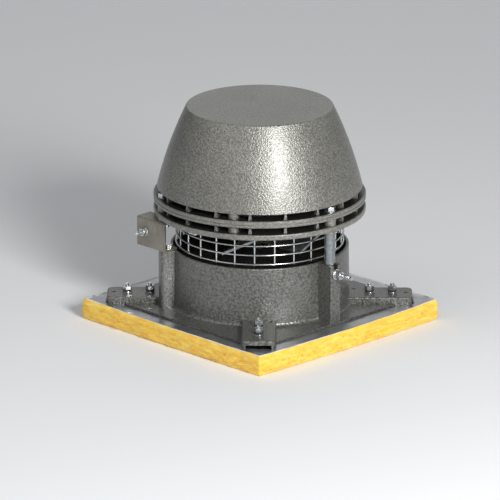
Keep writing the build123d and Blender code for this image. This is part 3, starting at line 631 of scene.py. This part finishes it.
for node, outer_size, finish in (("anchor_washers", 0.013, zinc), ("anchor_dampers", 0.012, rubber)):
    low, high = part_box(node)
    washer_mesh = baked(washer_tree, at_height(low[2]), finish, Outer=outer_size, Height=high[2] - low[2])
    stand_for(node + "_piece", washer_mesh, finish, node)
print("washer faces:", len(washer_mesh.polygons))


# %% [markdown]
# ## The lock stud and the pivot bolts
# The same thread tree serves the bolts that lie on their side: the baked mesh is turned and moved to its axis,
# so the object itself stays unturned. A pivot bolt is smooth where the hinge turns on it and threaded only
# outside its nut, so the thread is laid over a softened copy of the bolt.

# %% Lock stud
def laid(mesh, start, direction):
    """Turns an upright mesh along a direction and moves its foot to a point."""
    turn = Vector((0, 0, 1)).rotation_difference(Vector(direction)).to_matrix().to_4x4()
    mesh.transform(Matrix.Translation(Vector(start)) @ turn)
    mesh.update()
    return mesh


lock_low, lock_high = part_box("lock_stud")
lock_z = (lock_low[2] + lock_high[2]) / 2
lock_mesh = baked(stud_tree, [origin], zinc, Length=lock_high[0] - lock_low[0])
stand_for("lock_stud_piece", laid(lock_mesh, (lock_low[0], 0, lock_z), (1, 0, 0)), zinc, "lock_stud")
print("lock stud from", round(lock_low[0], 4), "to", round(lock_high[0], 4))

# %% Pivot bolts
pivot_thread_width = 0.0064
bare_end = 0.0006
pivot_low, pivot_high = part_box("pivot_bolts")
pivot_x = (pivot_low[0] + pivot_high[0]) / 2
pivot_z = (pivot_low[2] + pivot_high[2]) / 2
nut_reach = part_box("pivot_nuts")[1][1]
thread_length = pivot_high[1] - nut_reach - bare_end
softened("pivot_bolts", sheet_bevel)
for side in (-1, 1):
    thread_mesh = baked(stud_tree, [origin], zinc, Diameter=pivot_thread_width, Length=thread_length)
    laid(thread_mesh, (pivot_x, side * nut_reach, pivot_z), (0, side, 0))
    thread_piece = linked("pivot_thread_left" if side < 0 else "pivot_thread_right", thread_mesh)
    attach(thread_piece, "base")
print("pivot thread length:", round(thread_length, 4))

# %% [markdown]
# ## Mineral wool
# The mat is compressed mineral wool: yellow, layered flat, with loose fibres at its cut sides. Its top carries
# a thin foil facing on paper, seen as a border round the plate that mirrors the dark casting. Hair particles
# could make the wool, but they would be far too many. A colour that streaks along the layers shows the same.

# %% Wool and facing finishes
wool, tree, shader = new_finish("yellow_wool", 0.95)
shader.inputs["Sheen Weight"].default_value = 0.25
shader.inputs["Sheen Roughness"].default_value = 0.6
place = add_node(tree, "ShaderNodeTexCoord").outputs["Object"]
layered = add_node(tree, "ShaderNodeMapping", {"Vector": place, "Scale": (1.0, 1.0, 5.0)}).outputs["Vector"]
layers = cloud(tree, layered, 48.0, detail=4.0)
fibres = cloud(tree, layered, 420.0, detail=4.0, roughness=0.7)
clumps = cloud(tree, place, 28.0, detail=3.0)
fibre_share = 0.18
clump_share = 0.25
streaks = blend(tree, clump_share, blend(tree, fibre_share, layers, fibres), clumps)
wool_colours = [
    (0.28, (0.80, 0.43, 0.025)),
    (0.44, (0.90, 0.54, 0.045)),
    (0.58, (0.94, 0.66, 0.105)),
    (0.74, (0.97, 0.80, 0.27)),
]
tree.links.new(ramp(tree, streaks, wool_colours), shader.inputs["Base Color"])
relief(tree, shader, streaks, strength=0.45, distance=0.0018)

facing = worn_finish("foil_facing", (0.36, 0.37, 0.39), (0.58, 0.59, 0.61), 0.32, 0.92, 70.0, depth=0.0007)
paper_edge = worn_finish("paper_edge", (0.58, 0.56, 0.50), (0.84, 0.83, 0.80), 0.8, 0.0, 300.0)
print("finishes:", wool.name, facing.name, paper_edge.name)


# %% [markdown]
# The mat's mesh is a stack of loops, square outside and round in the flue hole. A displaced box would be
# simpler, but it could not bow, lift and dent where a mat does. A mat is cut by hand, so each side bows out by
# its own amount and the corners lift a little. Noise pushes the side loops in and out along the layers, so the
# cut wool looks torn and not sawn. The plate and its pads press down.

# %% Torn and uneven sides
mat_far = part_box("mineral_wool_mat")[1]
mat_half = mat_far[0]
mat_top = mat_far[2]
per_side = 190
around = 4 * per_side
side_bows = {(0, True): 6.5 * MM, (0, False): 2.5 * MM, (1, True): 3.0 * MM, (1, False): 1.5 * MM}
bow_start = 0.87
bow_width = 0.13
bow_at_corner = 0.45
bow_more = 0.55
broad_share = 0.6
fine_share = 0.55
# How fast a noise fades towards its details, how much finer each layer is, and how many layers it has.
broad_noise = (1.0, 2.0, 3)
fine_noise = (0.9, 2.1, 4)


def square_point(index, half):
    """A point of a square loop, never on a corner, and its outward direction."""
    side, step = divmod(index, per_side)
    along = 2 * (step + 0.5) / per_side - 1
    turn = Matrix.Rotation(math.radians(90 * side), 3, "Z")
    return turn @ Vector((half, along * half, 0)), turn @ Vector((1, 0, 0))


def stretched(point, level, upright):
    """A place in a noise that is scaled apart along and across the layers."""
    return Vector((point.x * level, point.y * level, point.z * upright))


def wool_push(point, strength):
    """How far the torn side stands out or in at a point, in metres."""
    broad = noise.fractal(stretched(point, level=16, upright=60), *broad_noise)
    fine = noise.fractal(stretched(point, level=55, upright=330), *fine_noise)
    return strength * (broad_share * broad + fine_share * fine)


def hand_cut(point):
    """Moves a point of the border to where the uneven cut leaves it."""
    moved = point.copy()
    for axis in (0, 1):
        amount = max(0.0, (abs(point[axis]) / mat_half - bow_start) / bow_width)
        along = point[1 - axis] / mat_half
        bow = side_bows[(axis, point[axis] > 0)] * (bow_at_corner + bow_more * (1 - along * along))
        moved[axis] += math.copysign(bow * amount, point[axis])
    return moved


print("mat:", round(2 * mat_half, 4), "wide,", round(mat_top, 4), "high")

# %% Raised border and pressed corners
least_lift = 0.8 * MM
corner_lift = 1.6 * MM
other_corners_share = 0.3
pad_reach = 197.0 * MM
pad_half = 20.0 * MM
pad_corner = 8.0 * MM


def border_lift(point):
    """How far the border stands up beside the plate: most at the corners that lie across the view."""
    corner = abs(point.x * point.y) / (mat_half * mat_half)
    across = 1.0 if point.x * point.y > 0 else other_corners_share
    return least_lift + corner_lift * across * corner**3


def under_pad(point):
    """Whether a corner pad presses on this point."""
    past_end = (abs(point.x) + abs(point.y)) / math.sqrt(2) - pad_reach + pad_corner
    past_side = abs(abs(point.x) - abs(point.y)) / math.sqrt(2) - pad_half + pad_corner
    return math.hypot(max(past_end, 0.0), max(past_side, 0.0)) < pad_corner


print("border lifts from", least_lift, "to", round(least_lift + corner_lift, 4))

# %% Loops of the mat
# A loop is a kind, a reach from the middle, a height and the depth of the torn wool.
side_rows = 15
side_round = 2.2 * MM
torn_depth = 2.1 * MM
edge_depth = 0.9 * MM
lip_inset = 2.8 * MM
lip_rise = 1.3 * MM
top_insets = (4.4, 6.2, 8.4, 10.6, 12.8, 15.0, 17.2, 19.2, 21.0)
recess_half = 140.4 * MM
recess_drop = 0.6 * MM
hole_radius = 100.0 * MM
seat_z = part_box("base_casting")[0][2]
under_seat = seat_z - 0.1 * MM
loops = []
for row in range(side_rows + 1):
    share = row / side_rows
    round_in = side_round * (abs(2 * share - 1) ** 4)
    depth = torn_depth if 0 < row < side_rows else edge_depth
    loops.append(("side", mat_half - round_in, share * mat_top, depth))
loops.append(("top", mat_half - lip_inset, mat_top + lip_rise, 0.0))
for inset in top_insets:
    loops.append(("top", mat_half - inset * MM, mat_top, 0.0))
loops.append(("top", recess_half, mat_top - recess_drop, 0.0))
loops.append(("recess", recess_half, under_seat, 0.0))
for z in (under_seat, seat_z / 2, 0.0):
    loops.append(("hole", hole_radius, z, 0.0))
top_rows = sum(1 for loop in loops if loop[0] == "top")
print("mat loops:", len(loops), "on top:", top_rows)

# %% Wool mat
push_limit = 1.5 * MM
dent_depth = 0.5 * MM
dent_scale = 45
dent_level = 0.2
tear_scale = 60
tear_level = -0.35
foil_index = 1
paper_index = 2


def mat_point(index, kind, reach, z, depth):
    """A point of one loop, torn, lifted, dented or pressed down as its place asks."""
    point, outward = square_point(index, reach)
    if kind == "hole":
        point = point.normalized() * reach
    point.z = z
    if kind == "side":
        point.z += border_lift(point) * z / mat_top
    if depth:
        point += outward * min(wool_push(point, depth), push_limit)
    if kind == "top":
        outside = (abs(point.x) + abs(point.y) - recess_half) / (2 * mat_half - recess_half)
        dent = dent_depth * max(0.0, noise.noise(point * dent_scale) + dent_level)
        point.z += border_lift(point) * min(1.0, outside) - dent
        if under_pad(point):
            point.z = under_seat
    return hand_cut(point)


mat_form = bmesh.new()
rings = [[mat_form.verts.new(mat_point(index, *loop)) for index in range(around)] for loop in loops]
rings.append(rings[0])
for row, (below, above) in enumerate(zip(rings, rings[1:])):
    for index in range(around):
        after = (index + 1) % around
        face = mat_form.faces.new((below[index], below[after], above[after], above[index]))
        face.smooth = True
        on_lip = row in (side_rows, side_rows + 1)
        if on_lip and noise.noise(below[index].co * tear_scale) > tear_level:
            face.material_index = paper_index
        elif side_rows < row < side_rows + top_rows + 2:
            face.material_index = foil_index
bmesh.ops.recalc_face_normals(mat_form, faces=mat_form.faces)
mat_mesh = bpy.data.meshes.new("mineral_wool_mat_piece")
mat_form.to_mesh(mat_mesh)
mat_form.free()
for mat_finish in (wool, facing, paper_edge):
    mat_mesh.materials.append(mat_finish)
mat_piece = stand_for("mineral_wool_mat_piece", mat_mesh, None, "mineral_wool_mat")
print("mat faces:", len(mat_mesh.polygons))

# %% [markdown]
# Loose fibres stick out of the cut sides. Hair curves would have to become meshes anyway, so a tree places
# short bent strands with a few faces each. Every strand has its own seeded turn and size, and lies mostly
# along the layers.

# %% Strand tree
full_turn = 6.283
bend_share = 0.35
fibre_tree = PieceTree("Loose fibres", {"Length": 0.009, "Thickness": 0.00022, "Seed": 11})
size = fibre_tree.sizes
strand = fibre_tree.add(
    "GeometryNodeCurveQuadraticBezier",
    {
        "Resolution": 4,
        "Start": fibre_tree.vector(y=fibre_tree.times(size["Length"], -0.5)),
        "Middle": fibre_tree.vector(x=fibre_tree.times(size["Length"], bend_share)),
        "End": fibre_tree.vector(y=fibre_tree.times(size["Length"], 0.5)),
    },
)
section_sizes = {"Resolution": 3, "Radius": size["Thickness"]}
strand_section = fibre_tree.add("GeometryNodeCurvePrimitiveCircle", section_sizes)
strand_path = {"Curve": strand, "Profile Curve": strand_section, "Fill Caps": True}
strand_mesh = fibre_tree.add("GeometryNodeCurveToMesh", strand_path)
fibre_draw = {"ID": fibre_tree.add("GeometryNodeInputIndex"), "Seed": size["Seed"]}
lean_range = {0: (-0.5, -0.7, 0.0), 1: (0.5, 0.7, full_turn)}
lean = fibre_tree.add("FunctionNodeRandomValue", {**lean_range, **fibre_draw}, data_type="FLOAT_VECTOR")
grow_range = {2: 0.5, 3: 1.3}
grow = fibre_tree.add("FunctionNodeRandomValue", {**grow_range, **fibre_draw}, out=1, data_type="FLOAT")
strands = fibre_tree.repeated(strand_mesh, size["Geometry"], Rotation=lean, Scale=grow)
fibre_tree.close(strands, smooth_angle=3.0)
print("strand inputs:", [socket.name for socket in size if socket.name])

# %% Loose fibres
fibre_count = 1800
step_along = 0.6180339887
step_up = 0.7548776662
fibre_inset = 1.0 * MM
fibre_margin = 3 * MM
fibre_push = 1.2 * MM
fibre_sink = -0.4 * MM
fibre_places = []
for index in range(fibre_count):
    along = (index * step_along) % 1.0
    up = (index * step_up) % 1.0
    point, outward = square_point(int(along * around), mat_half - fibre_inset)
    point.z = fibre_margin + up * (mat_top - 2 * fibre_margin)
    fibre_places.append(hand_cut(point) + outward * max(fibre_sink, wool_push(point, fibre_push)))
fibre_mesh = baked(fibre_tree, fibre_places, wool)
fibre_piece = linked("loose_fibres", fibre_mesh)
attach(fibre_piece, "base")
print("fibres:", len(fibre_places), "faces:", len(fibre_mesh.polygons))

# %% [markdown]
# ## What stays as it is
# The anchor bars, the motor and the bearings are hidden inside. New pieces for them would never be seen, so
# their solids stay and only get a finish.

# %% Finishes on the remaining solids
for node, solid in solids.items():
    finish = finish_of_slot.get(slot_of_node[node])
    if finish is None:
        continue
    for material_slot in solid.material_slots:
        material_slot.material = finish
print("finishes set on the solids")

# %% [markdown]
# ## Floor, light and camera
# A plain pale floor, one soft lamp a little to the right of the camera, a weak one from the left, and a wide
# one behind the object for the foil and the dome's top, under an even sky. A sky picture could light it too,
# but lamps can be set one by one. The camera is far away with a long lens, which gives the flat perspective of
# the view.

# %% Floor
floor_half = 30.0
floor_gap = 0.0006
floor_corners = [(-1, -1), (1, -1), (1, 1), (-1, 1)]
floor_mesh = bpy.data.meshes.new("floor")
floor_mesh.from_pydata([(x * floor_half, y * floor_half, 0) for x, y in floor_corners], [], [(0, 1, 2, 3)])
floor = linked("floor", floor_mesh)
floor.location.z = cad_box[0][2] - floor_gap
floor_finish, tree, shader = new_finish("pale_floor", 0.9)
shader.inputs["Base Color"].default_value = (0.92, 0.93, 0.94, 1.0)
floor_mesh.materials.append(floor_finish)
print("floor at", round(floor.location.z, 4))

# %% Light
view_azimuth = math.radians(45.41)
view_height = math.radians(17.62)
lamp_distance = 3.0
aim = Vector((0, 0, 0.13))


def aimed(holder, azimuth, height, distance):
    """Puts a lamp or the camera round the object, aimed at it; azimuth 0 looks along +Y."""
    level = math.cos(height)
    away = Vector((math.sin(azimuth) * level, -math.cos(azimuth) * level, math.sin(height)))
    holder.location = aim + distance * away
    holder.rotation_euler = (holder.location - aim).to_track_quat("Z", "Y").to_euler()


def soft_lamp(name, turn, height, width, power):
    """A square soft lamp, turned to the right of the camera by some degrees, aimed at the object."""
    lamp = bpy.data.lights.new(name, "AREA")
    lamp.size = width
    lamp.energy = power
    aimed(linked(name, lamp), view_azimuth + math.radians(turn), math.radians(height), lamp_distance)


soft_lamp("key_lamp", turn=25, height=24, width=0.8, power=86.0)
soft_lamp("fill_lamp", turn=-58, height=46, width=2.4, power=18.0)
soft_lamp("back_lamp", turn=176, height=34, width=2.6, power=11.0)
sky = bpy.data.worlds.new("even_sky")
sky.use_nodes = True
sky_inputs = sky.node_tree.nodes["Background"].inputs
sky_inputs["Color"].default_value = (0.92, 0.96, 1.0, 1.0)
sky_inputs["Strength"].default_value = 0.18
bpy.context.scene.world = sky
bpy.context.scene.view_settings.view_transform = "Standard"
print("lamps:", [lamp.name for lamp in bpy.data.lights])

# %% Camera
view_distance = 7.262
camera = bpy.data.cameras.new("camera")
camera.sensor_width = 36.0
camera.lens = 402.3
camera.shift_x = -0.0194
camera.shift_y = -0.0526
camera.clip_end = 100.0
camera_holder = linked("camera", camera)
aimed(camera_holder, view_azimuth, view_height, view_distance)
bpy.context.scene.camera = camera_holder
print("camera at", [round(value, 3) for value in camera_holder.location])
